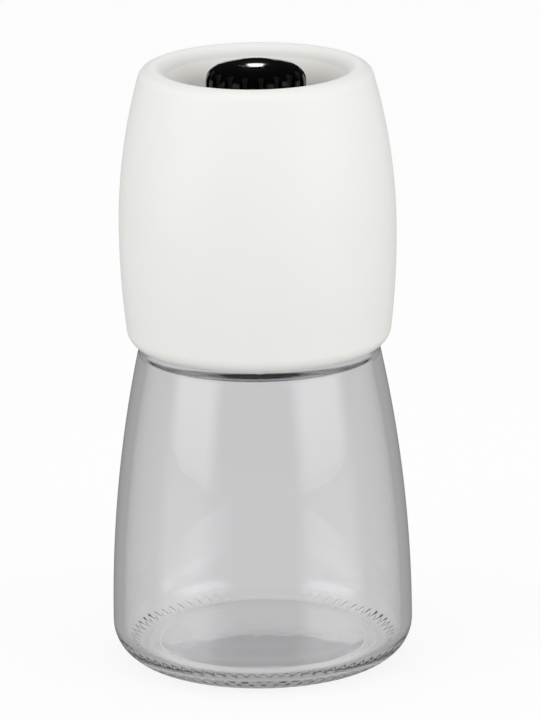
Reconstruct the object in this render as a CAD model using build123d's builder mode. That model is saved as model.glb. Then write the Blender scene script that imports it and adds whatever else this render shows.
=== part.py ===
from build123d import *

import os
from math import cos, hypot, radians, sin, tan

# A hand-turned sesame grinder that stands on its glass jar. The white head turns on a black
# collar that is screwed to the jar. Seeds fall through the collar into a pair of ceramic burrs
# and leave through the bowl in the top, round a black knob that sets the burr gap.
# +Z is up. The origin is the centre of the jar's foot.

# ---------------------------------------------------------------- driving dimensions, millimetres
# Glass jar
jar_height = 73.0  # foot to the flat of the shoulder
jar_heel_radius = 33.8  # the widest place, just above the rounded heel
jar_heel_rounding = 8.3
jar_shoulder_radius = 26.75
jar_shoulder_rounding = 2.0
jar_wall = 2.4
jar_floor = 6.5
jar_floor_crown = 0.5  # how far the floor rises in the middle
jar_inner_corner = 4.4
foot_ring_width = 3.2
push_up = 2.2  # depth of the hollow under the jar
shoulder_thickness = 2.0
neck_radius = 19.6
neck_wall = 2.4
neck_height = 14.0
mouth_rounding = 0.7

# Screw thread between jar and collar
thread_pitch = 4.0
thread_turns = 1.25
thread_depth = 1.2
thread_root_width = 1.7
thread_crest_width = 0.9
thread_clearance = 0.3  # radial
thread_flank_gap = 0.15  # axial, on the loaded flank
thread_start = 4.4  # first turn's height above the shoulder
thread_start_angle = 40.0
thread_root_bite = 0.3  # how deep the ridge is rooted in its wall

# Seal, collar and slip ring
seal_thickness = 1.4
seal_width = 3.4
seal_clearance = 0.2
collar_wall = 2.0
collar_lift = 1.0  # collar skirt above the jar's shoulder
collar_plate = 2.2
collar_opening_radius = 16.0
flange_overhang = 1.5
slip_ring_thickness = 1.2
slip_ring_inner_radius = 16.6
slip_ring_width = 5.0

# Feed spider and its keys in the collar
spider_step = 1.2  # thickness of the rim that lies in the collar's counterbore
spider_rim_width = 2.1
spider_step_width = 1.2
spider_clearance = 0.1
spoke_count = 3
spoke_width = 3.2
spoke_height = 3.4
hub_radius = 6.0
hub_height = 5.0
key_width = 3.4
key_reach = 1.2

# Drive shaft, clip, washers and spring
shaft_square = 5.0
shaft_edge = 0.4  # chamfer along the square's corners
shaft_thread_radius = 2.5
shaft_head_radius = 4.6
shaft_head_thickness = 1.6
shaft_tip_chamfer = 0.5
shaft_thread_length = 14.0
shaft_neck_radius = 2.0  # in the clip's groove
clip_thickness = 0.7
clip_radius = 5.0
clip_opening = 3.4
washer_thickness = 0.6
washer_radius = 6.0
washer_clearance = 0.2
head_washer_thickness = 0.8
spring_wire = 0.8
spring_mean_radius = 4.9
spring_turns = 5.5

# Burrs
burr_height = 13.0  # outer burr
burr_outer_radius = 17.2
burr_throat_radius = 12.0  # outer burr, where seeds enter
burr_gap = 0.6  # radial, between tooth tips at the exit
exit_band = 3.4  # height of the outer burr's fine teeth
exit_slope = 0.6  # radius gained per height in the exit band
exit_start_radius = 12.0  # inner burr, at the foot of the exit band
inner_burr_rise = 0.6  # inner burr's top above the outer burr's
inner_burr_foot_radius = 7.6
inner_burr_height = 12.4
tooth_depth = 0.5
outer_tooth_count = 48
inner_tooth_count = 36
tooth_slant = 7.0  # degrees that a fine tooth turns over the exit band
flute_radius = 1.4
outer_flute_count = 8
inner_flute_count = 6
flute_sweep = 32.0  # degrees that a feed flute turns over its height
lug_count = 3
lug_width = 3.0
lug_reach = 1.0
lug_height = 4.0

# Driver between shaft and inner burr
driver_flats = 9.0
driver_flange = 1.2
driver_flange_radius = 6.6
slide_clearance = 0.06
thrust_washer_thickness = 0.8
thrust_washer_radius = 7.4
thrust_washer_bore = 2.7

# Outer shell
shoulder_gap = 0.4  # shell above the jar's shoulder
shell_height = 62.6
shell_bottom_radius = 29.65
shell_belly_radius = 30.95
shell_belly_height = 25.6  # above the shell's lower edge
shell_top_radius = 25.57
shell_bottom_rounding = 3.4  # height of the curve at the lower edge
shell_rim_rounding = 2.85
shell_bore_radius = 27.2
shell_edge_flat = 0.4  # width of the lower edge
shell_top_thickness = 4.4
shell_rim_width = 4.67  # from the shell's outside to the bowl's lip
shell_rim_flat = 0.12  # between the rim's outer and inner roundings
shell_rim_depth = 2.4  # from the rim's top down to the burr housing

# Burr housing, which is also the outlet bowl
bowl_flare = 19.0  # degrees that the bowl's wall leans outward under the rim
bowl_wall = 2.0
bowl_floor_width = 2.2
bowl_floor = 1.8
outlet_radius = 15.4
housing_clearance = 0.1
socket_wall = 1.85
socket_clearance = 0.15
socket_grip = 3.0  # how far the socket reaches below the outer burr
rib_thickness = 1.6
rib_foot = 7.0  # rib above the burr carrier's plate
boss_radius = 2.4

# Burr carrier and its screws
carrier_plate = 3.4
carrier_height = 13.2  # plate underside to the outer burr's underside
carrier_wall = 2.2
carrier_spigot = 2.0
carrier_opening_radius = 16.2
carrier_clearance = 0.1
skirt_wall = 1.2
skirt_clearance = 0.3
hook_height = 1.8
hook_lead = 0.8
hook_play = 0.3
hook_count = 6
hook_slot = 2.4
screw_count = 3
screw_circle_radius = 22.2
screw_shank_radius = 1.2
screw_head_radius = 2.2
screw_head_height = 1.6
screw_length = 8.0
screw_clearance = 0.1
screw_head_recess = 0.3
screw_slot = 0.7

# Adjusting knob and its threaded insert
knob_radius = 11.13
knob_proud = 1.06  # crown above the shell's rim
knob_crown = 1.11  # rise of the crown inside its shoulder
knob_shoulder = 3.13
knob_skirt = 9.0
knob_wall = 2.6
knob_boss_radius = 5.6
knob_boss_chamfer = 0.5
knob_flute_count = 18
knob_flute_radius = 1.1
knob_flute_inset = 0.5  # centre of a flute inside the knob's radius
knob_flute_turn = 16.5  # degrees from +X to the first flute
insert_radius = 3.8
insert_length = 8.0
insert_flange_radius = 4.6
insert_flange = 1.0
insert_clearance = 0.02
thread_fit = 0.06  # shaft thread in the insert
knob_bore_spare = 2.0

# ---------------------------------------------------------------- heights and radii that follow
mouth_z = jar_height + neck_height
plate_z = mouth_z + seal_thickness
collar_top_z = plate_z + collar_plate
carrier_z = collar_top_z + slip_ring_thickness
carrier_top_z = carrier_z + carrier_plate
burr_z = carrier_z + carrier_height
burr_top_z = burr_z + burr_height
exit_z = burr_top_z - exit_band
bowl_z = burr_top_z + bowl_floor

hub_top_z = plate_z + hub_height
clip_top_z = hub_top_z + clip_thickness
spring_z = clip_top_z + washer_thickness
inner_burr_top_z = burr_top_z + inner_burr_rise
inner_burr_z = inner_burr_top_z - inner_burr_height
driver_z = inner_burr_z - driver_flange
spring_top_z = driver_z - washer_thickness
knob_z = inner_burr_top_z + thrust_washer_thickness
square_top_z = inner_burr_top_z - 1.5 * thrust_washer_thickness
shaft_top_z = knob_z + shaft_thread_length - thrust_washer_thickness

shell_z = jar_height + shoulder_gap
lip_radius = shell_top_radius - shell_rim_width
lip_run = shell_rim_width - shell_rim_rounding - shell_rim_flat
lip_rounding = lip_run / tan(radians((90 - bowl_flare) / 2))
shell_top_z = shell_z + shell_height
rim_joint_z = shell_top_z - shell_rim_depth
rim_joint_radius = lip_radius - shell_rim_depth * tan(radians(bowl_flare))
housing_edge_radius = rim_joint_radius + bowl_wall
shell_belly_z = shell_z + shell_belly_height
knob_top_z = shell_top_z + knob_proud
knob_shoulder_z = knob_top_z - knob_crown - knob_shoulder
knob_skirt_z = knob_shoulder_z - knob_skirt

neck_bore_radius = neck_radius - neck_wall
thread_crest_radius = neck_radius + thread_depth
collar_bore_radius = thread_crest_radius + thread_clearance
collar_radius = collar_bore_radius + collar_wall
flange_radius = collar_radius + flange_overhang
skirt_radius = flange_radius + skirt_clearance
carrier_radius = shell_bore_radius - carrier_clearance
spider_radius = collar_opening_radius - spider_clearance
spider_step_radius = collar_opening_radius + spider_step_width
socket_radius = burr_outer_radius + socket_clearance
washer_bore = hypot(shaft_square, shaft_square) / 2 - shaft_edge / 2 + washer_clearance


def polar(radius, angle, z):
    """A point at a radius, an angle in degrees and a height."""
    return Vector(radius * cos(radians(angle)), radius * sin(radians(angle)), z)


def corner(sketch, r, z):
    """The sketch's corner nearest to a point of the half section."""
    return sketch.vertices().sort_by_distance((r, z, 0))[0]


def tooth_ring(count, tip, root, turn):
    """Corners of a closed ring of V-shaped teeth, tips first."""
    half = 180 / count
    points = []
    for i in range(count):
        angle = turn + 2 * half * i
        for radius, a in ((tip, angle), (root, angle + half)):
            points.append((radius * cos(radians(a)), radius * sin(radians(a))))
    return points


def flute_plane(foot_radius, foot_z, head_radius, head_z, angle):
    """A plane square to a feed flute at its foot, and the flute's length."""
    foot = polar(foot_radius, angle, foot_z)
    head = polar(head_radius, angle + flute_sweep, head_z)
    way = head - foot
    overrun = way.normalized() * flute_radius * 2
    return Plane(origin=foot - overrun, z_dir=way), way.length + 2 * overrun.length


# ---------------------------------------------------------------- glass jar
foot_radius = jar_heel_radius - jar_heel_rounding
foot_inner_radius = foot_radius - foot_ring_width
jar_bore_radius = jar_heel_radius - jar_wall
inner_shoulder_z = jar_height - shoulder_thickness
inner_shoulder_radius = jar_shoulder_radius - jar_wall

with BuildPart() as glass_jar:
    with BuildSketch(Plane.XZ) as section:
        with BuildLine():
            TangentArc((0, push_up), (foot_inner_radius, 0), tangent=(1, 0))
            Line((foot_inner_radius, 0), (foot_radius, 0))
            JernArc((foot_radius, 0), (1, 0), jar_heel_rounding, 90)
            TangentArc(
                (jar_heel_radius, jar_heel_rounding),
                (jar_shoulder_radius, jar_height),
                tangent=(0, 1),
            )
            Polyline(
                (jar_shoulder_radius, jar_height),
                (neck_radius, jar_height),
                (neck_radius, mouth_z),
                (neck_bore_radius, mouth_z),
                (neck_bore_radius, inner_shoulder_z),
                (inner_shoulder_radius, inner_shoulder_z),
            )
            TangentArc(
                (jar_bore_radius, jar_floor + jar_inner_corner),
                (inner_shoulder_radius, inner_shoulder_z),
                tangent=(0, 1),
            )
            JernArc(
                (jar_bore_radius, jar_floor + jar_inner_corner),
                (0, -1),
                jar_inner_corner,
                -90,
            )
            TangentArc(
                (0, jar_floor + jar_floor_crown),
                (jar_bore_radius - jar_inner_corner, jar_floor),
                tangent=(1, 0),
            )
            Line((0, jar_floor + jar_floor_crown), (0, push_up))
        make_face()
        fillet(corner(section, jar_shoulder_radius, jar_height), jar_shoulder_rounding)
        fillet(corner(section, neck_radius, jar_height), thread_depth)
        fillet(corner(section, neck_radius, mouth_z), mouth_rounding)
        fillet(corner(section, neck_bore_radius, mouth_z), mouth_rounding)
        fillet(corner(section, neck_bore_radius, inner_shoulder_z), neck_wall)
        fillet(corner(section, inner_shoulder_radius, inner_shoulder_z), shoulder_thickness)
    revolve(axis=Axis.Z)

    # One raised thread on the neck, rooted in its wall.
    thread_axis = polar(1, thread_start_angle, 0)
    helix_plane = Plane((0, 0, jar_height + thread_start), x_dir=thread_axis)
    with BuildLine(helix_plane) as jar_helix:
        Helix(thread_pitch, thread_pitch * thread_turns, neck_radius)
    with BuildSketch(Plane(jar_helix.line @ 0, x_dir=thread_axis, z_dir=jar_helix.line % 0)):
        with BuildLine():
            Polyline(
                (-thread_root_bite, -thread_root_width / 2),
                (0, -thread_root_width / 2),
                (thread_depth, -thread_crest_width / 2),
                (thread_depth, thread_crest_width / 2),
                (0, thread_root_width / 2),
                (-thread_root_bite, thread_root_width / 2),
                close=True,
            )
        make_face()
    sweep(path=jar_helix.line, is_frenet=True)

# ---------------------------------------------------------------- seal on the jar's mouth
seal_radius = collar_bore_radius - seal_clearance

with BuildPart() as jar_seal:
    with BuildSketch(Plane.XY.offset(mouth_z)):
        Circle(seal_radius)
        Circle(seal_radius - seal_width, mode=Mode.SUBTRACT)
    extrude(amount=seal_thickness)

# ---------------------------------------------------------------- threaded collar
collar_skirt_z = jar_height + collar_lift
# On the loaded flank the collar's ridge lies just under the jar's ridge.
flank_run = (thread_root_width - thread_crest_width) / 2 / thread_depth
ridge_spacing = thread_root_width - flank_run * (thread_depth + thread_clearance) + thread_flank_gap

with BuildPart() as jar_collar:
    with BuildSketch(Plane.XZ):
        with BuildLine():
            Polyline(
                (collar_bore_radius, collar_skirt_z),
                (collar_radius, collar_skirt_z),
                (collar_radius, plate_z),
                (flange_radius, plate_z),
                (flange_radius, collar_top_z),
                (spider_step_radius, collar_top_z),
                (spider_step_radius, collar_top_z - spider_step),
                (collar_opening_radius, collar_top_z - spider_step),
                (collar_opening_radius, plate_z),
                (collar_bore_radius, plate_z),
                close=True,
            )
        make_face()
    revolve(axis=Axis.Z)
    flange_edge = jar_collar.edges().filter_by(GeomType.CIRCLE).group_by(SortBy.RADIUS)[-1]
    chamfer(flange_edge.sort_by(Axis.Z)[-1], spider_clearance * 4)

    # Notches that hold the spider's keys.
    with BuildSketch(Plane.XY.offset(collar_top_z)):
        with PolarLocations(spider_step_radius, spoke_count):
            Rectangle(2 * (key_reach + spider_clearance), key_width)
    extrude(amount=-spider_step, mode=Mode.SUBTRACT)

    # The inward thread.
    with BuildLine(helix_plane.offset(-ridge_spacing)) as collar_helix:
        Helix(thread_pitch, thread_pitch * thread_turns, collar_bore_radius)
    with BuildSketch(Plane(collar_helix.line @ 0, x_dir=thread_axis, z_dir=collar_helix.line % 0)):
        with BuildLine():
            Polyline(
                (thread_root_bite, -thread_root_width / 2),
                (0, -thread_root_width / 2),
                (-thread_depth, -thread_crest_width / 2),
                (-thread_depth, thread_crest_width / 2),
                (0, thread_root_width / 2),
                (thread_root_bite, thread_root_width / 2),
                close=True,
            )
        make_face()
    sweep(path=collar_helix.line, is_frenet=True)

# ---------------------------------------------------------------- feed spider
with BuildPart() as feed_spider:
    with BuildSketch(Plane.XY.offset(plate_z)):
        Circle(spider_radius)
        Circle(spider_radius - spider_rim_width, mode=Mode.SUBTRACT)
    extrude(amount=collar_plate)
    with BuildSketch(Plane.XY.offset(collar_top_z)):
        Circle(spider_step_radius - spider_clearance)
        Circle(spider_radius - spider_rim_width, mode=Mode.SUBTRACT)
        with PolarLocations(spider_step_radius, spoke_count):
            Rectangle(2 * key_reach, key_width - 2 * spider_clearance)
    extrude(amount=-spider_step)
    with BuildSketch(Plane.XY.offset(plate_z)):
        spoke_length = spider_radius - spider_rim_width / 2
        with PolarLocations(spoke_length / 2, spoke_count):
            Rectangle(spoke_length, spoke_width)
    extrude(amount=spoke_height)
    spoke_tops = feed_spider.faces().filter_by(Axis.Z).group_by(Axis.Z)[-1]
    fillet(spoke_tops.edges().filter_by(GeomType.LINE).group_by(SortBy.LENGTH)[-1], spoke_width / 4)
    with BuildSketch(Plane.XY.offset(plate_z)):
        Circle(hub_radius)
    extrude(amount=hub_height)
    chamfer(feed_spider.faces().sort_by(Axis.Z)[-1].edges(), shaft_tip_chamfer)
    with BuildSketch(Plane.XY.offset(plate_z)):
        Rectangle(shaft_square + 2 * slide_clearance, shaft_square + 2 * slide_clearance)
    extrude(amount=hub_height, mode=Mode.SUBTRACT)

# ---------------------------------------------------------------- drive shaft and its hardware
head_z = plate_z - head_washer_thickness

with BuildPart() as drive_shaft:
    with BuildSketch(Plane.XY.offset(head_z - shaft_head_thickness)):
        Circle(shaft_head_radius)
    extrude(amount=shaft_head_thickness)
    chamfer(drive_shaft.faces().sort_by(Axis.Z)[0].edges(), shaft_edge)
    with BuildSketch(Plane.XY.offset(head_z)) as square:
        Rectangle(shaft_square, shaft_square)
        chamfer(square.vertices(), shaft_edge)
    extrude(amount=square_top_z - head_z)
    # The round groove that the clip sits in.
    with BuildSketch(Plane.XY.offset(hub_top_z)):
        Circle(shaft_square)
        Circle(shaft_neck_radius, mode=Mode.SUBTRACT)
    extrude(amount=clip_thickness, mode=Mode.SUBTRACT)
    with BuildSketch(Plane.XY.offset(square_top_z)):
        Circle(shaft_thread_radius)
    extrude(amount=shaft_top_z - square_top_z)
    chamfer(drive_shaft.faces().sort_by(Axis.Z)[-1].edges(), shaft_tip_chamfer)

with BuildPart() as head_washer:
    with BuildSketch(Plane.XY.offset(head_z)):
        Circle(washer_radius)
        Circle(washer_bore, mode=Mode.SUBTRACT)
    extrude(amount=head_washer_thickness)

with BuildPart() as shaft_clip:
    with BuildSketch(Plane.XY.offset(hub_top_z)):
        Circle(clip_radius)
        Circle(shaft_neck_radius + slide_clearance, mode=Mode.SUBTRACT)
        with Locations((clip_radius, 0)):
            Rectangle(2 * clip_radius, clip_opening, mode=Mode.SUBTRACT)
        with PolarLocations(clip_radius * 0.62, 2, start_angle=120, angular_range=240):
            Circle(shaft_edge * 2, mode=Mode.SUBTRACT)
    extrude(amount=clip_thickness)

with BuildPart() as spring_seat:
    with BuildSketch(Plane.XY.offset(clip_top_z)):
        Circle(washer_radius)
        Circle(washer_bore, mode=Mode.SUBTRACT)
    extrude(amount=washer_thickness)

with BuildPart() as burr_spring:
    spring_rise = spring_top_z - spring_z - spring_wire
    with BuildLine(Plane.XY.offset(spring_z + spring_wire / 2)) as coil:
        Helix(spring_rise / spring_turns, spring_rise, spring_mean_radius)
    with BuildSketch(Plane(coil.line @ 0, z_dir=coil.line % 0)):
        Circle(spring_wire / 2)
    sweep(path=coil.line, is_frenet=True)

# The least gap between the spring's turns, measured on points along its wire.
points_per_turn = 60
coil_count = round(spring_turns * points_per_turn)
coil_points = [coil.line @ (i / coil_count) for i in range(coil_count + 1)]
coil_gap = min(
    (a - b).length - spring_wire
    for i, a in enumerate(coil_points)
    for b in coil_points[i + points_per_turn * 3 // 4 :]
)
print(f"least gap between the spring's turns: {coil_gap:.2f} mm")

with BuildPart() as spring_cap:
    with BuildSketch(Plane.XY.offset(spring_top_z)):
        Circle(washer_radius)
        Circle(washer_bore, mode=Mode.SUBTRACT)
    extrude(amount=washer_thickness)

# ---------------------------------------------------------------- slip ring
with BuildPart() as slip_ring:
    with BuildSketch(Plane.XY.offset(collar_top_z)):
        Circle(slip_ring_inner_radius + slip_ring_width)
        Circle(slip_ring_inner_radius, mode=Mode.SUBTRACT)
    extrude(amount=slip_ring_thickness)
    chamfer(slip_ring.faces().sort_by(Axis.Z)[-1].edges(), slip_ring_thickness / 5)

# ---------------------------------------------------------------- inner burr
exit_foot_z = exit_z
exit_rise = inner_burr_top_z - exit_foot_z
inner_top_radius = exit_start_radius + exit_slope * exit_rise

with BuildPart() as inner_burr:
    with BuildSketch(Plane.XZ):
        with BuildLine():
            Polyline(
                (0, inner_burr_z),
                (inner_burr_foot_radius, inner_burr_z),
                (exit_start_radius - tooth_depth, exit_foot_z),
                (0, exit_foot_z),
                close=True,
            )
        make_face()
    revolve(axis=Axis.Z)
    # Six feed flutes wind up the cone.
    for i in range(inner_flute_count):
        plane, length = flute_plane(
            inner_burr_foot_radius,
            inner_burr_z,
            exit_start_radius + flute_radius / 2,
            exit_foot_z,
            360 / inner_flute_count * i,
        )
        with BuildSketch(plane):
            Circle(flute_radius)
        extrude(amount=length, mode=Mode.SUBTRACT)
    # Fine slanted teeth round the wide end.
    for z, radius, turn in (
        (exit_foot_z, exit_start_radius, 0),
        (inner_burr_top_z, inner_top_radius, tooth_slant),
    ):
        with BuildSketch(Plane.XY.offset(z)):
            Polygon(*tooth_ring(inner_tooth_count, radius, radius - tooth_depth, turn), align=None)
    loft(ruled=True)
    with BuildSketch(Plane.XY.offset(inner_burr_z)):
        RegularPolygon(driver_flats / 2 + slide_clearance, 6, major_radius=False)
    extrude(amount=inner_burr_height, mode=Mode.SUBTRACT)

# ---------------------------------------------------------------- driver, pressed in the inner burr
with BuildPart() as burr_driver:
    with BuildSketch(Plane.XY.offset(driver_z)):
        Circle(driver_flange_radius)
    extrude(amount=driver_flange)
    chamfer(burr_driver.faces().sort_by(Axis.Z)[0].edges(), driver_flange / 4)
    with BuildSketch(Plane.XY.offset(inner_burr_z)):
        RegularPolygon(driver_flats / 2, 6, major_radius=False)
    extrude(amount=inner_burr_height)
    with BuildSketch(Plane.XY.offset(driver_z)):
        Rectangle(shaft_square + 2 * slide_clearance, shaft_square + 2 * slide_clearance)
    extrude(amount=driver_flange + inner_burr_height, mode=Mode.SUBTRACT)

with BuildPart() as thrust_washer:
    with BuildSketch(Plane.XY.offset(inner_burr_top_z)):
        Circle(thrust_washer_radius)
        Circle(thrust_washer_bore, mode=Mode.SUBTRACT)
    extrude(amount=thrust_washer_thickness)

# ---------------------------------------------------------------- outer burr
outer_exit_radius = exit_start_radius + burr_gap
outer_top_radius = outer_exit_radius + exit_slope * exit_band

with BuildPart() as outer_burr:
    with BuildSketch(Plane.XY.offset(burr_z)):
        Circle(burr_outer_radius)
    extrude(amount=burr_height)
    outside = outer_burr.edges().filter_by(GeomType.CIRCLE)
    chamfer(outside, tooth_depth)
    with BuildSketch(Plane.XY.offset(burr_top_z - lug_height)):
        with PolarLocations(burr_outer_radius, lug_count):
            Rectangle(2 * lug_reach, lug_width)
    extrude(amount=lug_height - tooth_depth)
    with BuildSketch(Plane.XZ):
        with BuildLine():
            Polyline(
                (0, burr_z),
                (burr_throat_radius, burr_z),
                (outer_exit_radius, exit_z),
                (0, exit_z),
                close=True,
            )
        make_face()
    revolve(axis=Axis.Z, mode=Mode.SUBTRACT)
    # Feed flutes in the throat, leaning the other way.
    for i in range(outer_flute_count):
        plane, length = flute_plane(
            outer_exit_radius,
            exit_z,
            burr_throat_radius + flute_radius / 2,
            burr_z - flute_radius,
            360 / outer_flute_count * i,
        )
        with BuildSketch(plane):
            Circle(flute_radius)
        extrude(amount=length - 2 * flute_radius, mode=Mode.SUBTRACT)
    for z, radius, turn in (
        (exit_z, outer_exit_radius, 0),
        (burr_top_z, outer_top_radius, -tooth_slant),
    ):
        with BuildSketch(Plane.XY.offset(z)):
            ring = tooth_ring(outer_tooth_count, radius + tooth_depth, radius, turn)
            Polygon(*ring, align=None)
    loft(ruled=True, mode=Mode.SUBTRACT)

# ---------------------------------------------------------------- outer shell, barrel and rim
cavity_top_z = shell_top_z - shell_top_thickness
cavity_radius = (lip_radius + shell_top_radius + bowl_floor) / 2
taper_z = burr_top_z - burr_height / 2  # where the inside starts to close in

with BuildPart() as outer_shell:
    with BuildSketch(Plane.XZ) as section:
        with BuildLine():
            edge_radius = shell_bore_radius + shell_edge_flat
            Line((shell_bore_radius, shell_z), (edge_radius, shell_z))
            TangentArc(
                (shell_bottom_radius, shell_z + shell_bottom_rounding),
                (edge_radius, shell_z),
                tangent=(0, -1),
            )
            TangentArc(
                (shell_belly_radius, shell_belly_z),
                (shell_bottom_radius, shell_z + shell_bottom_rounding),
                tangent=(0, -1),
            )
            TangentArc(
                (shell_belly_radius, shell_belly_z),
                (shell_top_radius, shell_top_z),
                tangent=(0, 1),
            )
            Polyline(
                (shell_top_radius, shell_top_z),
                (lip_radius, shell_top_z),
                (rim_joint_radius, rim_joint_z),
                (housing_edge_radius + housing_clearance, rim_joint_z),
                (housing_edge_radius + housing_clearance, cavity_top_z),
                (cavity_radius, cavity_top_z),
            )
            TangentArc((shell_bore_radius, taper_z), (cavity_radius, cavity_top_z), tangent=(0, 1))
            Line((shell_bore_radius, taper_z), (shell_bore_radius, shell_z))
        make_face()
        fillet(corner(section, shell_top_radius, shell_top_z), shell_rim_rounding)
        fillet(corner(section, lip_radius, shell_top_z), lip_rounding)
    revolve(axis=Axis.Z)

# ---------------------------------------------------------------- burr housing with the outlet bowl
bowl_floor_radius = outlet_radius + bowl_floor_width

with BuildPart() as burr_housing:
    with BuildSketch(Plane.XZ) as section:
        with BuildLine():
            TangentArc(
                (rim_joint_radius, rim_joint_z),
                (bowl_floor_radius, bowl_z),
                tangent=(-sin(radians(bowl_flare)), -cos(radians(bowl_flare))),
            )
            Polyline(
                (bowl_floor_radius, bowl_z),
                (outlet_radius, bowl_z),
                (outlet_radius, burr_top_z),
                (socket_radius, burr_top_z),
                (socket_radius, burr_z - socket_grip),
                (socket_radius + socket_wall, burr_z - socket_grip),
                (socket_radius + socket_wall, bowl_z),
                (housing_edge_radius, cavity_top_z),
                (housing_edge_radius, rim_joint_z),
                (rim_joint_radius, rim_joint_z),
            )
        make_face()
        fillet(corner(section, bowl_floor_radius, bowl_z), bowl_floor / 3)
    revolve(axis=Axis.Z)

    # Three ribs centre the housing in the shell, and each carries a screw boss.
    rib_z = carrier_top_z + rib_foot
    with BuildSketch(Plane.XY.offset(rib_z)):
        rib_inner = socket_radius + socket_wall / 2
        rib_outer = shell_bore_radius - housing_clearance
        with PolarLocations((rib_inner + rib_outer) / 2, screw_count, start_angle=60):
            Rectangle(rib_outer - rib_inner, rib_thickness)
    extrude(amount=taper_z - rib_z)
    with BuildSketch(Plane.XY.offset(carrier_top_z)):
        with PolarLocations(screw_circle_radius, screw_count, start_angle=60):
            Circle(boss_radius)
    extrude(amount=taper_z - carrier_top_z)
    with BuildSketch(Plane.XY.offset(carrier_top_z)):
        with PolarLocations(screw_circle_radius, screw_count, start_angle=60):
            Circle(screw_shank_radius + screw_clearance / 2)
    extrude(amount=screw_length, mode=Mode.SUBTRACT)
    # Slots for the outer burr's lugs, open below.
    with BuildSketch(Plane.XY.offset(burr_z - socket_grip)):
        with PolarLocations(burr_outer_radius, lug_count):
            Rectangle(2 * (lug_reach + socket_clearance), lug_width + 2 * socket_clearance)
    extrude(amount=burr_height + socket_grip, mode=Mode.SUBTRACT)

# ---------------------------------------------------------------- burr carrier
hook_z = plate_z - hook_play - hook_height
hook_radius = collar_radius + skirt_clearance
spigot_radius = socket_radius - carrier_clearance
funnel_z = burr_z - carrier_spigot

with BuildPart() as burr_carrier:
    with BuildSketch(Plane.XZ):
        with BuildLine():
            Polyline(
                (carrier_opening_radius, carrier_z),
                (skirt_radius, carrier_z),
                (skirt_radius, plate_z - hook_play),
                (hook_radius, plate_z - hook_play),
                (hook_radius, hook_z + hook_lead),
                (hook_radius + hook_lead, hook_z),
                (skirt_radius + skirt_wall, hook_z),
                (skirt_radius + skirt_wall, carrier_z),
                (carrier_radius, carrier_z),
                (carrier_radius, carrier_top_z),
                (carrier_opening_radius + carrier_wall, carrier_top_z),
                (burr_throat_radius + carrier_wall + bowl_floor, funnel_z),
                (spigot_radius, funnel_z),
                (spigot_radius, burr_z),
                (burr_throat_radius, burr_z),
                close=True,
            )
        make_face()
    revolve(axis=Axis.Z)
    # Slots that turn the skirt into springy hooks.
    slot_height = carrier_z - skirt_wall - hook_z
    with BuildSketch(Plane.XY.offset(hook_z)):
        with PolarLocations(skirt_radius, hook_count, start_angle=30):
            Rectangle(4 * hook_slot, hook_slot)
    extrude(amount=slot_height, mode=Mode.SUBTRACT)
    with BuildSketch(Plane.XY.offset(carrier_z)):
        with PolarLocations(screw_circle_radius, screw_count, start_angle=60):
            Circle(screw_shank_radius + screw_clearance)
    extrude(amount=carrier_plate, mode=Mode.SUBTRACT)
    with BuildSketch(Plane.XY.offset(carrier_z)):
        with PolarLocations(screw_circle_radius, screw_count, start_angle=60):
            Circle(screw_head_radius + screw_clearance)
    extrude(amount=screw_head_height + screw_head_recess, mode=Mode.SUBTRACT)

with BuildPart() as carrier_screws:
    screw_z = carrier_z + screw_head_recess
    with BuildSketch(Plane.XY.offset(screw_z)):
        with PolarLocations(screw_circle_radius, screw_count, start_angle=60):
            Circle(screw_head_radius)
    extrude(amount=screw_head_height)
    fillet(carrier_screws.faces().sort_by(Axis.Z)[:screw_count].edges(), screw_slot)
    with BuildSketch(Plane.XY.offset(screw_z + screw_head_height)):
        with PolarLocations(screw_circle_radius, screw_count, start_angle=60):
            Circle(screw_shank_radius)
    extrude(amount=screw_length)
    chamfer(carrier_screws.faces().sort_by(Axis.Z)[-screw_count:].edges(), screw_shank_radius / 2)
    # Cross recess in each head.
    with BuildSketch(Plane.XY.offset(screw_z)):
        with PolarLocations(screw_circle_radius, screw_count, start_angle=60):
            Rectangle(screw_head_radius, screw_slot)
            Rectangle(screw_slot, screw_head_radius)
    extrude(amount=screw_head_height / 2, mode=Mode.SUBTRACT)

# ---------------------------------------------------------------- adjusting knob
crown_radius = knob_radius - knob_shoulder
flute_circle_radius = knob_radius - knob_flute_inset
knob_roof_z = knob_shoulder_z
knob_bore_z = shaft_top_z + knob_bore_spare

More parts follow.
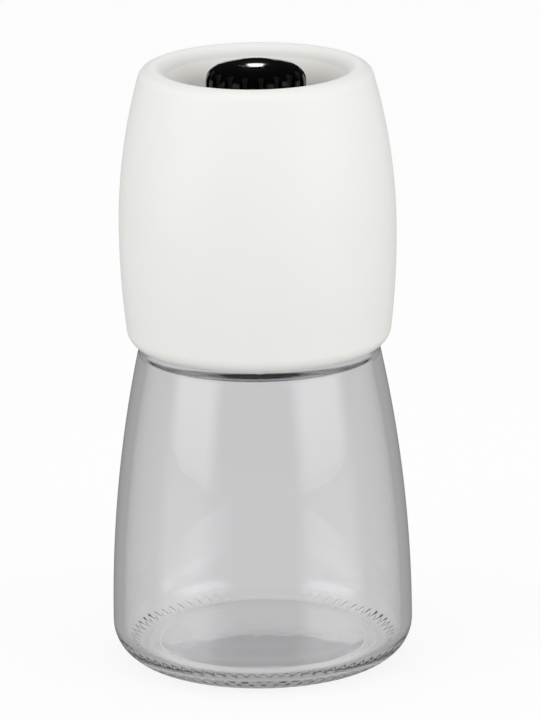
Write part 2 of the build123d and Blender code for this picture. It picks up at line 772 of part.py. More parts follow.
with BuildPart() as adjusting_knob:
    with BuildSketch(Plane.XZ):
        with BuildLine():
            Line((0, knob_z), (knob_boss_radius, knob_z))
            Polyline(
                (knob_boss_radius, knob_z),
                (knob_boss_radius, knob_roof_z),
                (knob_radius - knob_wall, knob_roof_z),
                (knob_radius - knob_wall, knob_skirt_z),
                (knob_radius, knob_skirt_z),
                (knob_radius, knob_shoulder_z),
            )
            JernArc((knob_radius, knob_shoulder_z), (0, 1), knob_shoulder, 72)
            shoulder_end = (
                crown_radius + knob_shoulder * cos(radians(72)),
                knob_shoulder_z + knob_shoulder * sin(radians(72)),
            )
            TangentArc((0, knob_top_z), shoulder_end, tangent=(1, 0))
            Line((0, knob_top_z), (0, knob_z))
        make_face()
    revolve(axis=Axis.Z)
    # Finger flutes run up the skirt and out through the rounded shoulder.
    with BuildSketch(Plane.XY.offset(knob_skirt_z)):
        with PolarLocations(flute_circle_radius, knob_flute_count, start_angle=knob_flute_turn):
            Circle(knob_flute_radius)
    extrude(amount=knob_top_z - knob_skirt_z, mode=Mode.SUBTRACT)
    # Stepped hole for the insert, then room for the shaft's tip.
    with BuildSketch(Plane.XY.offset(knob_z)):
        Circle(insert_flange_radius + insert_clearance)
    extrude(amount=insert_flange, mode=Mode.SUBTRACT)
    with BuildSketch(Plane.XY.offset(knob_z)):
        Circle(insert_radius + insert_clearance)
    extrude(amount=insert_length, mode=Mode.SUBTRACT)
    with BuildSketch(Plane.XY.offset(knob_z)):
        Circle(shaft_thread_radius + thread_fit)
    extrude(amount=knob_bore_z - knob_z, mode=Mode.SUBTRACT)

with BuildPart() as knob_insert:
    with BuildSketch(Plane.XY.offset(knob_z)):
        Circle(insert_flange_radius)
    extrude(amount=insert_flange)
    with BuildSketch(Plane.XY.offset(knob_z)):
        Circle(insert_radius)
    extrude(amount=insert_length)
    with BuildSketch(Plane.XY.offset(knob_z)):
        Circle(shaft_thread_radius + thread_fit)
    extrude(amount=insert_length, mode=Mode.SUBTRACT)

# ---------------------------------------------------------------- write one file per piece
pieces = {
    "glass_jar": glass_jar,
    "jar_seal": jar_seal,
    "jar_collar": jar_collar,
    "feed_spider": feed_spider,
    "drive_shaft": drive_shaft,
    "head_washer": head_washer,
    "shaft_clip": shaft_clip,
    "spring_seat": spring_seat,
    "burr_spring": burr_spring,
    "spring_cap": spring_cap,
    "slip_ring": slip_ring,
    "inner_burr": inner_burr,
    "burr_driver": burr_driver,
    "thrust_washer": thrust_washer,
    "outer_burr": outer_burr,
    "outer_shell": outer_shell,
    "burr_housing": burr_housing,
    "burr_carrier": burr_carrier,
    "carrier_screws": carrier_screws,
    "adjusting_knob": adjusting_knob,
    "knob_insert": knob_insert,
}
os.makedirs("parts", exist_ok=True)
for label, piece in pieces.items():
    piece.part.label = label
    export_step(piece.part, f"parts/{label}.step")
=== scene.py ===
import math

import bmesh
import bpy
from mathutils import Matrix, Vector


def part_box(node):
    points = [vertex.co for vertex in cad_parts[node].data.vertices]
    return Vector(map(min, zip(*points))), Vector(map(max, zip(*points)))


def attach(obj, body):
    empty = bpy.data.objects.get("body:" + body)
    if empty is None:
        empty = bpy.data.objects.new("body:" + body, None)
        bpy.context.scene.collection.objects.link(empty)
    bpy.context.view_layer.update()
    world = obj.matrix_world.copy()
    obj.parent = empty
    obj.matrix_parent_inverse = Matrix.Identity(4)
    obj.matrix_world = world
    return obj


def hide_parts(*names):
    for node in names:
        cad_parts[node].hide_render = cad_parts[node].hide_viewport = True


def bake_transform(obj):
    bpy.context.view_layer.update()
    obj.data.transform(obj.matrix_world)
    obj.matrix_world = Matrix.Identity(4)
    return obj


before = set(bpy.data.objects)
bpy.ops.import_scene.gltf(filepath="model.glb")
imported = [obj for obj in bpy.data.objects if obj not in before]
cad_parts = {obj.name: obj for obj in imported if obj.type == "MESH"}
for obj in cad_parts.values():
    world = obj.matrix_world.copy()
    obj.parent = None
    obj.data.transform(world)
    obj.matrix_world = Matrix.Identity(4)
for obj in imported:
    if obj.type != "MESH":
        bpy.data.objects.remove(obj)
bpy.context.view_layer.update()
MM = 0.001

# ------------------------------------------------------------------ sizes, millimetres
# Glass jar, a surface of revolution round Z.
FOOT_INNER, FOOT_RADIUS, PUSH_UP = 22.3, 25.5, 0.9
HEEL_RADIUS, HEEL_ROUNDING = 33.8, 8.3
SHOULDER_RADIUS, SHOULDER_Z, SHOULDER_ROUNDING = 26.75, 73.0, 2.0
WALL, FLOOR, FLOOR_CROWN, INNER_CORNER = 2.4, 3.6, 3.4, 4.4
NECK_RADIUS, NECK_BORE, NECK_FILLET, MOUTH_Z, MOUTH_ROUNDING = 19.6, 17.2, 1.2, 87.0, 0.7
INNER_SHOULDER_Z, THROAT_FILLET, INNER_SHOULDER_FILLET = 71.0, 2.4, 2.0
# Points on the arcs of the section, degrees a point at its corners, and steps along its lines.
DOME_POINTS, HEEL_POINTS, WALL_POINTS, INNER_WALL_POINTS, CORNER_POINTS = 12, 40, 46, 42, 16
CORNER_STEP, FEWEST, FOOT_STEP, NECK_STEP, LINE_STEP = 9, 5, 0.4, 0.28, 1.0
NECK_SPARE = 0.5  # the line over the mouth has the short steps too
# Screw thread on the neck.
THREAD_PITCH, THREAD_TURNS, THREAD_DEPTH = 4.0, 1.25, 1.2
THREAD_ROOT, THREAD_CREST, THREAD_START, THREAD_ANGLE = 1.7, 0.9, 77.4, 40.0
THREAD_RUN_OUT = 0.2  # radians over which each end fades
# Crescent marks round the heel, and the seams that the two mould halves leave.
KNURLS, KNURL_HEIGHT, KNURL_APEX, KNURL_BOW, KNURL_LINE = 70, 0.3, 31.4, 2.8, 0.4
KNURL_FROM, KNURL_TO, KNURL_TOP = 27.4, 33.1, 4.8  # radii and height of the finely divided zone
KNURL_FADE = 0.8  # share of the half width at which a mark begins to fade
SPARE_MARKS, EULER = 100.0, 2.718  # the first keeps the count of marks above zero
SEAM_HEIGHT = 0.04
SEAM_ABOVE, SEAM_BESIDE = 1.0, 0.5  # the seams leave out what lies flat on the shoulder
SEAM_FOOT = 2.0  # and what lies lower than this
# The inner wall's curvature, the height where it begins, and a margin: it has no seams.
INNER_BEND, INNER_BEND_Z, INNER_SPARE = 0.00172, 12.0, 0.3
COARSE, FINE = 288, 864  # points round the jar, and round its knurled heel
NEAR = 0.01  # distance that counts as none
# Adjusting knob.
KNOB_TOP, CROWN_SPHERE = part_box("adjusting_knob")[1][2] / MM, 32.4
MARK_RADIUS, MARK_WIDTH, MARK_HEIGHT, MARK_SUNK, MARK_BEVEL = 4.6, 0.8, 0.13, 0.15, 0.05
MARK_FROM, MARK_TO, MARK_STEPS = 20.0, 118.0, 22  # degrees
ARROW_TURN, ARROW_SPREAD, ARROW_STEPS, ARROW_TIP = 0.30, 1.25, 6, 1e-4


# ------------------------------------------------------------------ helpers
def linear(code):
    """An sRGB hex colour as linear RGBA."""
    out = []
    for i in (1, 3, 5):
        c = int(code[i : i + 2], 16) / 255
        out.append(c / 12.92 if c <= 0.04045 else ((c + 0.055) / 1.055) ** 2.4)
    return (*out, 1.0)


def add(tree, kind, inputs=None, **settings):
    """A node with its settings and its inputs, each a value or a link from an output socket."""
    made = tree.nodes.new(kind)
    for name, value in settings.items():
        setattr(made, name, value)
    for key, value in (inputs or {}).items():
        if isinstance(value, bpy.types.NodeSocket):
            tree.links.new(value, made.inputs[key])
        else:
            made.inputs[key].default_value = value
    return made


def finish_of(name, **sockets):
    """A new material, its node tree, its shader and its Object coordinates."""
    made = bpy.data.materials.new(name)
    made.use_nodes = True
    tree = made.node_tree
    tree.nodes.clear()
    shader = add(tree, "ShaderNodeBsdfPrincipled")
    for key, value in sockets.items():
        shader.inputs[key.replace("_", " ")].default_value = value
    add(tree, "ShaderNodeOutputMaterial", {"Surface": shader.outputs["BSDF"]})
    return made, tree, shader, add(tree, "ShaderNodeTexCoord").outputs["Object"]


def stipple(tree, shader, place, scale, height, strength):
    """A fine bump of that scale, in cells per metre, and height in metres."""
    grain = add(tree, "ShaderNodeTexNoise", {"Vector": place, "Scale": scale})
    relief = {"Height": grain.outputs["Fac"], "Strength": strength, "Distance": height}
    bump = add(tree, "ShaderNodeBump", relief)
    tree.links.new(bump.outputs["Normal"], shader.inputs["Normal"])


def mottle(tree, shader, place, scale, pale, dark):
    """A slow change between two close colours."""
    cloud = add(tree, "ShaderNodeTexNoise", {"Vector": place, "Scale": scale, "Detail": 3.0})
    colours = {0: cloud.outputs["Fac"], 6: linear(dark), 7: linear(pale)}
    blend = add(tree, "ShaderNodeMix", colours, data_type="RGBA")
    tree.links.new(blend.outputs[2], shader.inputs["Base Color"])


def around(radius, angle, z):
    return Vector((radius * math.cos(angle), radius * math.sin(angle), z))


def arc(start, end, lean, count):
    """Points after start up to end on the arc that leaves start along lean, in (r, z)."""
    s, e, d = Vector(start), Vector(end), Vector(lean).normalized()
    chord = e - s
    normal = Vector((-d.y, d.x))
    centre = s + normal * (chord.length_squared / (2 * chord.dot(normal)))
    arm = s - centre
    turn = 2 * math.atan2(chord.dot(normal), chord.dot(d))
    out = []
    for k in range(1, count + 1):
        c, n = math.cos(turn * k / count), math.sin(turn * k / count)
        out.append((centre.x + arm.x * c - arm.y * n, centre.y + arm.x * n + arm.y * c))
    return out


def corner(before, at, after, radius):
    """Points of the fillet at a corner of the section."""
    here = Vector(at)
    back, on = (Vector(before) - here).normalized(), (Vector(after) - here).normalized()
    half = back.angle(on) / 2
    reach = radius / math.tan(half)
    start, end = here + back * reach, here + on * reach
    count = max(FEWEST, round(math.degrees(math.pi - 2 * half) / CORNER_STEP))
    return [tuple(start)] + arc(start, end, -back, count)


def run(start, end, step):
    """Points after start and before end, about a step apart."""
    s, e = Vector(start), Vector(end)
    count = max(1, round((e - s).length / step))
    return [tuple(s.lerp(e, k / count)) for k in range(1, count)]


def link(name, bm):
    mesh = bpy.data.meshes.new(name)
    bmesh.ops.recalc_face_normals(bm, faces=bm.faces)
    bm.to_mesh(mesh)
    bm.free()
    mesh.shade_smooth()
    made = bpy.data.objects.new(name, mesh)
    bpy.context.scene.collection.objects.link(made)
    return made


def settled(made):
    """The piece with its modifiers turned into a plain mesh."""
    graph = bpy.context.evaluated_depsgraph_get()
    mesh = bpy.data.meshes.new_from_object(made.evaluated_get(graph))
    made.modifiers.clear()
    made.data = mesh
    return made


# ------------------------------------------------------------------ finishes
def glass_soda_lime():
    # Soda-lime glass, pressed and blown in an iron mould: clear and nearly colourless, with a
    # slow ripple about 9 mm long that bends what is seen through the wall.
    made, tree, shader, place = finish_of(
        "glass_soda_lime_blown",
        Base_Color=linear("#FDFDFE"),
        Roughness=0.0,
        IOR=1.52,
        Transmission_Weight=1.0,
    )
    stipple(tree, shader, place, 110.0, 0.0005, 0.05)
    return made


def abs_satin(name, pale, dark):
    # White ABS from a spark-eroded mould: an even satin with pits of 0.15 mm, drawn at 0.35 mm
    # so that they show close up, and no clear reflections.
    made, tree, shader, place = finish_of(name, Roughness=0.48, IOR=1.53)
    mottle(tree, shader, place, 45.0, pale, dark)
    stipple(tree, shader, place, 2800.0, 0.00003, 0.22)
    return made


def abs_gloss_black():
    # Black ABS from a polished mould: deep gloss with sharp highlights, and a slow waviness of
    # about 2 mm where the skin sank.
    made, tree, shader, place = finish_of(
        "abs_black_polished", Base_Color=linear("#050506"), Roughness=0.09, Specular_IOR_Level=0.17
    )
    stipple(tree, shader, place, 520.0, 0.00006, 0.08)
    return made


def polypropylene_black():
    # Black polypropylene, moulded: waxy dark grey shine and a fine matt grain of 0.3 mm.
    made, tree, shader, place = finish_of("polypropylene_black_moulded", Roughness=0.36, IOR=1.49)
    mottle(tree, shader, place, 70.0, "#161617", "#0F0F10")
    stipple(tree, shader, place, 3200.0, 0.00002, 0.2)
    return made


def acetal():
    # Natural acetal, moulded: milky, slightly waxy, light enters a little way.
    made, tree, shader, place = finish_of(
        "acetal_natural_moulded",
        Roughness=0.33,
        IOR=1.48,
        Subsurface_Weight=0.25,
        Subsurface_Scale=0.0015,
    )
    mottle(tree, shader, place, 60.0, "#F2F0E8", "#ECE9E0")
    stipple(tree, shader, place, 1500.0, 0.00002, 0.15)
    return made


def alumina():
    # Alumina ceramic, pressed, fired and tumbled: off-white, dry, with grains of 0.1 mm drawn
    # at 0.25 mm.
    made, tree, shader, place = finish_of("alumina_fired", Roughness=0.58, IOR=1.76)
    mottle(tree, shader, place, 180.0, "#EDE9DF", "#E2DDD1")
    stipple(tree, shader, place, 4000.0, 0.00003, 0.35)
    return made


def turned_metal(name, code, roughness):
    # Turned on a lathe: rings 0.25 mm apart round the axis, which stretch the highlight.
    made, tree, shader, place = finish_of(
        name, Base_Color=linear(code), Metallic=1.0, Roughness=roughness
    )
    rings = add(
        tree,
        "ShaderNodeTexWave",
        {"Vector": place, "Scale": 640.0, "Distortion": 0.6, "Detail": 1.0},
        wave_type="RINGS",
        rings_direction="Z",
    )
    relief = {"Height": rings.outputs["Fac"], "Strength": 0.2, "Distance": 0.00002}
    bump = add(tree, "ShaderNodeBump", relief)
    tree.links.new(bump.outputs["Normal"], shader.inputs["Normal"])
    return made


def silicone():
    # Translucent silicone rubber, moulded: dull, cloudy grey-white.
    made, tree, shader, place = finish_of(
        "silicone_cloudy", Roughness=0.55, IOR=1.41, Subsurface_Weight=0.6, Subsurface_Scale=0.001
    )
    mottle(tree, shader, place, 90.0, "#E4E4E0", "#D9D9D5")
    return made


GLASS, GLOSS, MOULDED = glass_soda_lime(), abs_gloss_black(), polypropylene_black()
SATIN = abs_satin("abs_white_spark_eroded", "#F2F2EF", "#EDEDEA")
# The bowl inside the rim gets a lighter, warmer copy of the white ABS. This is painted light: it stands
# in for the light that the deep bowl keeps from its walls.
BOWL_PAINTED_LIGHT = abs_satin("abs_white_bowl_painted_light", "#FDFAF6", "#FBF8F4")
ACETAL, CERAMIC, SILICONE = acetal(), alumina(), silicone()
STEEL = turned_metal("stainless_turned", "#C9CBCC", 0.28)
SPRING = turned_metal("spring_steel_drawn", "#B9BCBF", 0.22)
BRASS = turned_metal("brass_turned", "#D9B46A", 0.25)

finishes = {
    "jar_seal": SILICONE,
    "jar_collar": MOULDED,
    "feed_spider": MOULDED,
    "drive_shaft": STEEL,
    "head_washer": STEEL,
    "shaft_clip": STEEL,
    "spring_seat": STEEL,
    "burr_spring": SPRING,
    "spring_cap": STEEL,
    "slip_ring": ACETAL,
    "inner_burr": CERAMIC,
    "burr_driver": ACETAL,
    "thrust_washer": ACETAL,
    "outer_burr": CERAMIC,
    "outer_shell": SATIN,
    "burr_housing": BOWL_PAINTED_LIGHT,
    "burr_carrier": ACETAL,
    "carrier_screws": STEEL,
    "adjusting_knob": GLOSS,
    "knob_insert": BRASS,
}
for name, finish in finishes.items():
    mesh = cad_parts[name].data
    mesh.materials.clear()
    mesh.materials.append(finish)


# ------------------------------------------------------------------ glass jar
def jar_section():
    """The section as (r, z, fine) from under the foot, round the outside and down the inside."""
    heel = (HEEL_RADIUS, HEEL_ROUNDING)
    top = (SHOULDER_RADIUS, SHOULDER_Z)
    under = [(0.0, PUSH_UP)] + arc((0, PUSH_UP), (FOOT_INNER, 0), (1, 0), DOME_POINTS)
    foot = run((FOOT_INNER, 0), (FOOT_RADIUS, 0), FOOT_STEP) + [(FOOT_RADIUS, 0)]
    curve = arc((FOOT_RADIUS, 0), heel, (1, 0), HEEL_POINTS)
    fine = [(r, z) for r, z in curve if KNURL_FROM < r < KNURL_TO]
    upper = [p for p in curve if p[0] >= KNURL_TO]
    last = len(upper) - 1
    upper = [p for i, p in enumerate(upper) if i % 2 == 0 or i >= last - 1]
    wall = arc(heel, top, (0, 1), WALL_POINTS)[:-2]
    outside = upper + wall
    neck_foot, mouth_out = (NECK_RADIUS, SHOULDER_Z), (NECK_RADIUS, MOUTH_Z)
    mouth_in, throat = (NECK_BORE, MOUTH_Z), (NECK_BORE, INNER_SHOULDER_Z)
    inner_top = (SHOULDER_RADIUS - WALL, INNER_SHOULDER_Z)
    bore = HEEL_RADIUS - WALL
    inner_wall = arc((bore, FLOOR + INNER_CORNER), inner_top, (0, 1), INNER_WALL_POINTS)[:-2][::-1]
    for turn in (
        corner(wall[-1], top, neck_foot, SHOULDER_ROUNDING),
        corner(top, neck_foot, mouth_out, NECK_FILLET),
        corner(neck_foot, mouth_out, mouth_in, MOUTH_ROUNDING),
        corner(mouth_out, mouth_in, throat, MOUTH_ROUNDING),
        corner(mouth_in, throat, inner_top, THROAT_FILLET),
        corner(throat, inner_top, inner_wall[0], INNER_SHOULDER_FILLET),
    ):
        on_neck = outside[-1][0] < NECK_RADIUS + NEAR and turn[0][0] > NECK_BORE + NECK_SPARE
        outside += run(outside[-1], turn[0], NECK_STEP if on_neck else LINE_STEP) + turn
    outside += inner_wall + [(bore, FLOOR + INNER_CORNER)]
    outside += arc(outside[-1], (bore - INNER_CORNER, FLOOR), (0, -1), CORNER_POINTS)
    floor = arc((0, FLOOR + FLOOR_CROWN), (bore - INNER_CORNER, FLOOR), (1, 0), DOME_POINTS)[:-1][::-1]
    rows = [(r, z, False) for r, z in under + foot + [p for p in curve if p[0] <= KNURL_FROM]]
    rows += [(r, z, True) for r, z in fine]
    rows += [(r, z, False) for r, z in outside + floor + [(0.0, FLOOR + FLOOR_CROWN)]]
    return rows


def thread_height(angle, z):
    """How far the screw thread stands out of the neck there."""
    best = 0.0
    first = math.radians(THREAD_ANGLE)
    for lap in (0, 1):
        along = (angle - first) % math.tau + lap * math.tau
        left = THREAD_TURNS * math.tau - along
        if left < 0:
            continue
        away = abs(z - THREAD_START - THREAD_PITCH * along / math.tau)
        rise = (THREAD_ROOT / 2 - away) / ((THREAD_ROOT - THREAD_CREST) / 2)
        ends = min(1.0, along / THREAD_RUN_OUT, left / THREAD_RUN_OUT)
        best = max(best, THREAD_DEPTH * max(0.0, min(1.0, rise)) * ends)
    return best


def foot_knurl_tree():
    """Geometry nodes that press a ring of crescent marks into the curve of the heel."""
    tree = bpy.data.node_groups.new("foot_knurl", "GeometryNodeTree")
    side = tree.interface
    side.new_socket("Geometry", in_out="INPUT", socket_type="NodeSocketGeometry")
    for name, value in (
        ("Count", KNURLS),
        ("Height", KNURL_HEIGHT * MM),
        ("Apex radius", KNURL_APEX * MM),
        ("Bow", KNURL_BOW * MM),
        ("Line width", KNURL_LINE * MM),
        ("Top", KNURL_TOP * MM),
    ):
        side.new_socket(name, in_out="INPUT", socket_type="NodeSocketFloat").default_value = value
    side.new_socket("Finish", in_out="INPUT", socket_type="NodeSocketMaterial")
    side.new_socket("Geometry", in_out="OUTPUT", socket_type="NodeSocketGeometry")
    given = add(tree, "NodeGroupInput").outputs
    position = add(tree, "GeometryNodeInputPosition").outputs[0]
    place = add(tree, "ShaderNodeSeparateXYZ", {0: position}).outputs
    fade = {1: KNURL_FADE, 2: 1.0, 3: 1.0, 4: 0.0}
    ends = add(tree, "ShaderNodeMapRange", fade, interpolation_type="SMOOTHSTEP")
    known = {socket.name: socket for socket in (*given, *place)}
    known["Ends"] = ends.outputs[0]
    # Each step is what a Math node gives, its operation and its terms: numbers or known values.
    # Aside is 0 in the middle of a mark and 1 where the next one begins.
    for name, operation, *terms in (
        ("Turn", "ARCTAN2", "Y", "X"),
        ("Marks", "MULTIPLY", "Turn", "Count"),
        ("Marks", "DIVIDE", "Marks", math.tau),
        ("Marks", "ADD", "Marks", SPARE_MARKS),
        ("Share", "FRACT", "Marks"),
        ("Aside", "MULTIPLY", "Share", 2.0),
        ("Aside", "SUBTRACT", "Aside", 1.0),
        ("Aside", "ABSOLUTE", "Aside"),
        ("X squared", "POWER", "X", 2.0),
        ("Y squared", "POWER", "Y", 2.0),
        ("Radius", "ADD", "X squared", "Y squared"),
        ("Radius", "SQRT", "Radius"),
        ("Inwards", "POWER", "Aside", 2.0),
        ("Inwards", "MULTIPLY", "Bow", "Inwards"),
        ("Line", "SUBTRACT", "Apex radius", "Inwards"),
        ("Away", "SUBTRACT", "Radius", "Line"),
        ("Away", "DIVIDE", "Away", "Line width"),
        ("Ridge", "MULTIPLY", "Away", "Away"),
        ("Ridge", "MULTIPLY", "Ridge", -1.0),
        ("Ridge", "POWER", EULER, "Ridge"),
        ("Ridge", "MULTIPLY", "Ridge", "Ends"),
        ("Low", "LESS_THAN", "Z", "Top"),
        ("Lift", "MULTIPLY", "Low", "Height"),
        ("Lift", "MULTIPLY", "Ridge", "Lift"),
    ):
        inputs = {i: known.get(term, term) for i, term in enumerate(terms)}
        known[name] = add(tree, "ShaderNodeMath", inputs, operation=operation).outputs[0]
    tree.links.new(known["Aside"], ends.inputs[0])
    offset = add(tree, "ShaderNodeCombineXYZ", {"Z": known["Lift"]}).outputs[0]
    pressed = add(tree, "GeometryNodeSetPosition", {"Geometry": given["Geometry"], "Offset": offset})
    real = add(tree, "GeometryNodeRealizeInstances", {0: pressed.outputs[0]})
    coat = {"Geometry": real.outputs[0], "Material": given["Finish"]}
    clad = add(tree, "GeometryNodeSetMaterial", coat)
    add(tree, "NodeGroupOutput", {0: clad.outputs[0]})
    return tree


def has_seam(r, z):
    """Whether the seams of the mould cross that ring of the section."""
    off_shoulder = z > SHOULDER_Z + SEAM_ABOVE or r > SHOULDER_RADIUS - SEAM_BESIDE
    outer = r > NECK_RADIUS - NEAR and off_shoulder and z > SEAM_FOOT
    bend = INNER_BEND * max(0, z - INNER_BEND_Z) ** 2 / 2
    inner = z < INNER_SHOULDER_Z and r < HEEL_RADIUS - WALL - bend + INNER_SPARE
    return outer and not inner


def clear_jar():
    """The section turned round Z, with thread, seams and marks."""
    bm = bmesh.new()
    rings = []
    for r, z, fine in jar_section():
        if r < NEAR:
            rings.append([bm.verts.new((0, 0, z * MM))])
            continue
        count = FINE if fine else COARSE
        ring = []
        seam = has_seam(r, z)
        for k in range(count):
            angle = math.tau * k / count
            out = 0.0
            if abs(r - NECK_RADIUS) < NEAR:
                out = thread_height(angle, z)
            elif seam and k % (count // 2) == count // 4:
                out = SEAM_HEIGHT
            ring.append(bm.verts.new(around((r + out) * MM, angle, z * MM)))
        rings.append(ring)
    for a, b in zip(rings, rings[1:]):
        small, large = (a, b) if len(a) <= len(b) else (b, a)
        n, m = len(small), len(large)
        for k in range(m if n in (1, m) else n):
            if n == 1:
                bm.faces.new((small[0], large[k], large[(k + 1) % m]))
            elif n == m:
                bm.faces.new((a[k], a[(k + 1) % n], b[(k + 1) % n], b[k]))
            else:
                step = m // n
                edge = [large[(k * step + j) % m] for j in range(step, -1, -1)]
                bm.faces.new([small[k], small[(k + 1) % n], *edge])
    jar = link("clear_jar", bm)
    knurl = jar.modifiers.new("foot_knurl", "NODES")
    knurl.node_group = foot_knurl_tree()
    sockets = {s.name: s.identifier for s in knurl.node_group.interface.items_tree if s.in_out == "INPUT"}
    knurl[sockets["Finish"]] = GLASS
    return settled(jar)


jar = clear_jar()
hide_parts("glass_jar")
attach(jar, "jar")


# ------------------------------------------------------------------ burr spring
# A copy of the spring's own mesh, baked in place. The real spring shortens and stretches between the
# collar and the burr.
spring = bpy.data.objects.new("pressed_spring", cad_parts["burr_spring"].data.copy())
bpy.context.scene.collection.objects.link(spring)
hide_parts("burr_spring")
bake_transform(spring)


# ------------------------------------------------------------------ turning mark on the knob
def crown(x, y, up):
    """A point on the knob's crown, raised by up."""
    return Vector((x, y, KNOB_TOP - CROWN_SPHERE + math.sqrt(CROWN_SPHERE**2 - x * x - y * y) + up)) * MM


def turning_mark():
    """Two raised arrows that follow each other round the crown."""
    bm = bmesh.new()
    for half in (0, math.pi):
        outline = []
        first, last = math.radians(MARK_FROM), math.radians(MARK_TO)
        for k in range(MARK_STEPS + 1):
            angle = first + (last - first) * k / MARK_STEPS
            outline.append((MARK_RADIUS - MARK_WIDTH / 2, MARK_RADIUS + MARK_WIDTH / 2, angle))
        for k in range(ARROW_STEPS + 1):
            t = k / ARROW_STEPS
            spread, angle = MARK_WIDTH * ARROW_SPREAD * (1 - t), last + ARROW_TURN * t
            outline.append((MARK_RADIUS - spread, MARK_RADIUS + spread + ARROW_TIP, angle))
        rows = []
        for low, high, angle in outline:
            c, s = math.cos(angle + half), math.sin(angle + half)
            profile = (
                (low, -MARK_SUNK),
                (low + MARK_BEVEL, MARK_HEIGHT),
                (high - MARK_BEVEL, MARK_HEIGHT),
                (high, -MARK_SUNK),
            )
            rows.append([bm.verts.new(crown(r * c, r * s, up)) for r, up in profile])
        for a, b in zip(rows, rows[1:]):
            for i in range(4):
                bm.faces.new((a[i], a[(i + 1) % 4], b[(i + 1) % 4], b[i]))
        bm.faces.new(rows[0])
        bm.faces.new(rows[-1][::-1])
    mark = link("turning_mark", bm)
    mark.data.materials.append(GLOSS)
    return mark


mark = turning_mark()
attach(mark, "knob")


# ------------------------------------------------------------------ floor, room and light
# Brightness of the room and of the table: plain, in a reflection, behind the object, seen through
# the jar, and seen by light that has also turned inside the glass.
ROOM, ROOM_REFLECTED, ROOM_BEHIND, ROOM_THROUGH, ROOM_TURNED = 0.72, 0.015, 1.0, 0.625, 0.39
TABLE_THROUGH, TABLE_TURNED = 0.64, 0.42
TABLE_WHITE, TABLE_GLOW = 0.86, 0.15  # shares of plain white, to the camera and in a reflection
TABLE_SIZE, TABLE_POLISH = 6.0, 0.2
WHITE = linear("#FFFFFF")


def glass_path(tree, straight, turned):
    """The light path, whether it passed glass, and the brightness that it then finds."""
    seen = add(tree, "ShaderNodeLightPath").outputs
    depth = {0: seen["Transmission Depth"], 1: 0.5}
    passed = add(tree, "ShaderNodeMath", depth, operation="GREATER_THAN").outputs[0]
    levels = {0: seen["Glossy Depth"], 1: 0.0, 2: 1.0, 3: straight, 4: turned}
    return seen, passed, add(tree, "ShaderNodeMapRange", levels).outputs[0]


def floor_finish():
    # White table film: plain white to the camera with a faint shadow, light grey through glass.
    made = bpy.data.materials.new("white_film")
    made.use_nodes = True
    tree = made.node_tree
    tree.nodes.clear()
    seen, passed, level = glass_path(tree, TABLE_THROUGH, TABLE_TURNED)
    tones = {0: seen["Is Camera Ray"], 6: linear("#D2D2D2"), 7: linear("#F6F6F6")}
    tone = add(tree, "ShaderNodeMix", tones, data_type="RGBA").outputs[2]
    matt = add(tree, "ShaderNodeBsdfDiffuse", {"Color": tone}).outputs[0]
    white = add(tree, "ShaderNodeEmission", {"Color": WHITE, "Strength": 1.0}).outputs[0]
    grey = add(tree, "ShaderNodeEmission", {"Color": WHITE, "Strength": level}).outputs[0]
    gloss = {"Color": linear("#F0F0F0"), "Roughness": TABLE_POLISH}
    polish = add(tree, "ShaderNodeBsdfGlossy", gloss).outputs[0]
    shine = add(tree, "ShaderNodeMixShader", {0: TABLE_GLOW, 1: polish, 2: white}).outputs[0]
    part = {0: seen["Is Camera Ray"], 1: TABLE_WHITE}
    to_camera = add(tree, "ShaderNodeMath", part, operation="MULTIPLY").outputs[0]
    surface = matt
    for share, over in ((to_camera, white), (seen["Is Glossy Ray"], shine), (passed, grey)):
        surface = add(tree, "ShaderNodeMixShader", {0: share, 1: surface, 2: over}).outputs[0]
    add(tree, "ShaderNodeOutputMaterial", {"Surface": surface})
    return made


bm = bmesh.new()
bmesh.ops.create_grid(bm, x_segments=1, y_segments=1, size=TABLE_SIZE)
floor = link("table_film", bm)
floor.data.materials.append(floor_finish())

world = bpy.data.worlds.new("studio")
bpy.context.scene.world = world
world.use_nodes = True
tree = world.node_tree
tree.nodes.clear()
seen, passed, level = glass_path(tree, ROOM_THROUGH, ROOM_TURNED)
room, reflected, behind, through = (
    add(tree, "ShaderNodeBackground", {"Color": WHITE, "Strength": strength}).outputs[0]
    for strength in (ROOM, ROOM_REFLECTED, ROOM_BEHIND, level)
)
for share, over in (
    (seen["Is Glossy Ray"], reflected),
    (passed, through),
    (seen["Is Camera Ray"], behind),
):
    room = add(tree, "ShaderNodeMixShader", {0: share, 1: room, 2: over}).outputs[0]
add(tree, "ShaderNodeOutputWorld", {"Surface": room})


LAMPS_AIM = 0.07  # height of the point that the lamps face, in metres


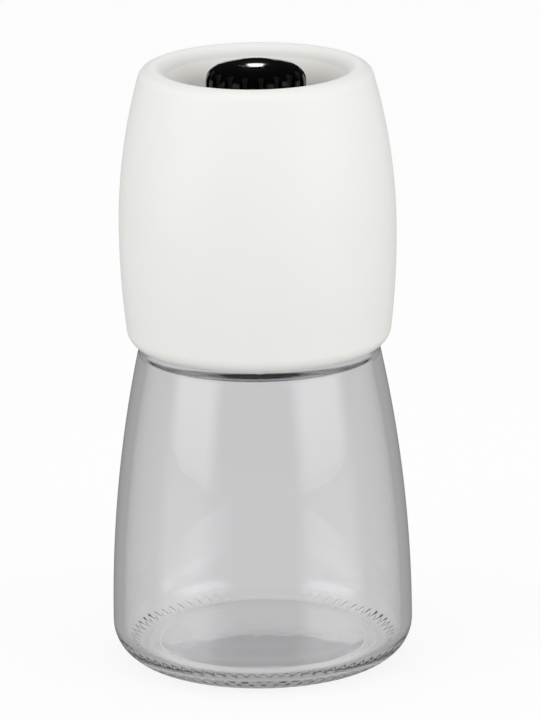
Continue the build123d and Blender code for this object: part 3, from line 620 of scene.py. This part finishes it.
def softbox(name, azimuth, elevation, distance, width, height, strength, soft_edge=0.3):
    """An area light that faces the object. Azimuth 0 is on the camera's side, 90 on the right."""
    lamp = bpy.data.lights.new(name, "AREA")
    lamp.shape, lamp.size, lamp.size_y, lamp.energy = "RECTANGLE", width, height, strength
    lamp.use_nodes = True
    tree = lamp.node_tree
    tree.nodes.clear()
    # The cloth is brightest in the middle and fades towards its edges.
    across = add(tree, "ShaderNodeNewGeometry").outputs["Parametric"]
    spot = add(tree, "ShaderNodeSeparateXYZ", {0: across})
    glow = None
    for axis in ("X", "Y"):
        off = add(tree, "ShaderNodeMath", {0: spot.outputs[axis], 1: 0.5}, operation="SUBTRACT")
        off = add(tree, "ShaderNodeMath", {0: off.outputs[0]}, operation="ABSOLUTE")
        edge = {0: off.outputs[0], 1: 0.5 - soft_edge, 2: 0.5, 3: 1.0, 4: 0.0}
        fade = add(tree, "ShaderNodeMapRange", edge, interpolation_type="SMOOTHSTEP").outputs[0]
        if glow is not None:
            fade = add(tree, "ShaderNodeMath", {0: glow, 1: fade}, operation="MULTIPLY").outputs[0]
        glow = fade
    cloth = add(tree, "ShaderNodeEmission", {"Strength": glow})
    add(tree, "ShaderNodeOutputLight", {"Surface": cloth.outputs[0]})
    made = bpy.data.objects.new(name, lamp)
    bpy.context.scene.collection.objects.link(made)
    a, e = math.radians(azimuth), math.radians(elevation)
    way = Vector((math.sin(a) * math.cos(e), -math.cos(a) * math.cos(e), math.sin(e)))
    made.location = Vector((0, 0, LAMPS_AIM)) + way * distance
    made.rotation_euler = way.to_track_quat("Z", "Y").to_euler()
    return made


# Azimuth and elevation in degrees, distance, width and height in metres, strength in watts and
# the soft edge as a share of the width.
softbox("softbox_left", -62, 18, 1.0, 1.15, 1.2, 7.0)
softbox("softbox_right", 56, 18, 1.0, 1.25, 1.2, 7.6)
overhead = softbox("overhead", 0, 82, 1.1, 1.0, 1.0, 2.6)
overhead.visible_glossy = False
window = softbox("window_behind", 180, 27, 1.2, 0.1, 0.22, 0.75, 0.2)
window.visible_transmission = False

# ------------------------------------------------------------------ camera
# Set by fitting the outline to the photograph: a long lens, 18 degrees above the table.
CAMERA_PLACE, CAMERA_CLIP = (0, -1.3365, 0.4495), (0.05, 50.0)
CAMERA_YAW, CAMERA_PITCH, CAMERA_ROLL = 0.101, 15.914, 0.734
SENSOR_WIDTH, LENS = 36.0, 310.17

camera = bpy.data.objects.new("camera", bpy.data.cameras.new("camera"))
bpy.context.scene.collection.objects.link(camera)
bpy.context.scene.camera = camera
camera.data.sensor_width, camera.data.lens = SENSOR_WIDTH, LENS
camera.data.clip_start, camera.data.clip_end = CAMERA_CLIP
yaw, pitch, roll = (math.radians(angle) for angle in (CAMERA_YAW, CAMERA_PITCH, CAMERA_ROLL))
ahead = Vector((math.sin(yaw) * math.cos(pitch), math.cos(yaw) * math.cos(pitch), -math.sin(pitch)))
right = Vector((math.cos(yaw), -math.sin(yaw), 0))
up = right.cross(ahead)
tilt_right = right * math.cos(roll) - up * math.sin(roll)
tilt_up = up * math.cos(roll) + right * math.sin(roll)
turn = Matrix((tilt_right, tilt_up, -ahead)).transposed()
camera.matrix_world = Matrix.Translation(CAMERA_PLACE) @ turn.to_4x4()

scene = bpy.context.scene
scene.view_settings.view_transform = "Standard"
# Light turns many times inside the thick heel of the jar.
scene.cycles.glossy_bounces, scene.cycles.transmission_bounces, scene.cycles.max_bounces = 16, 24, 32
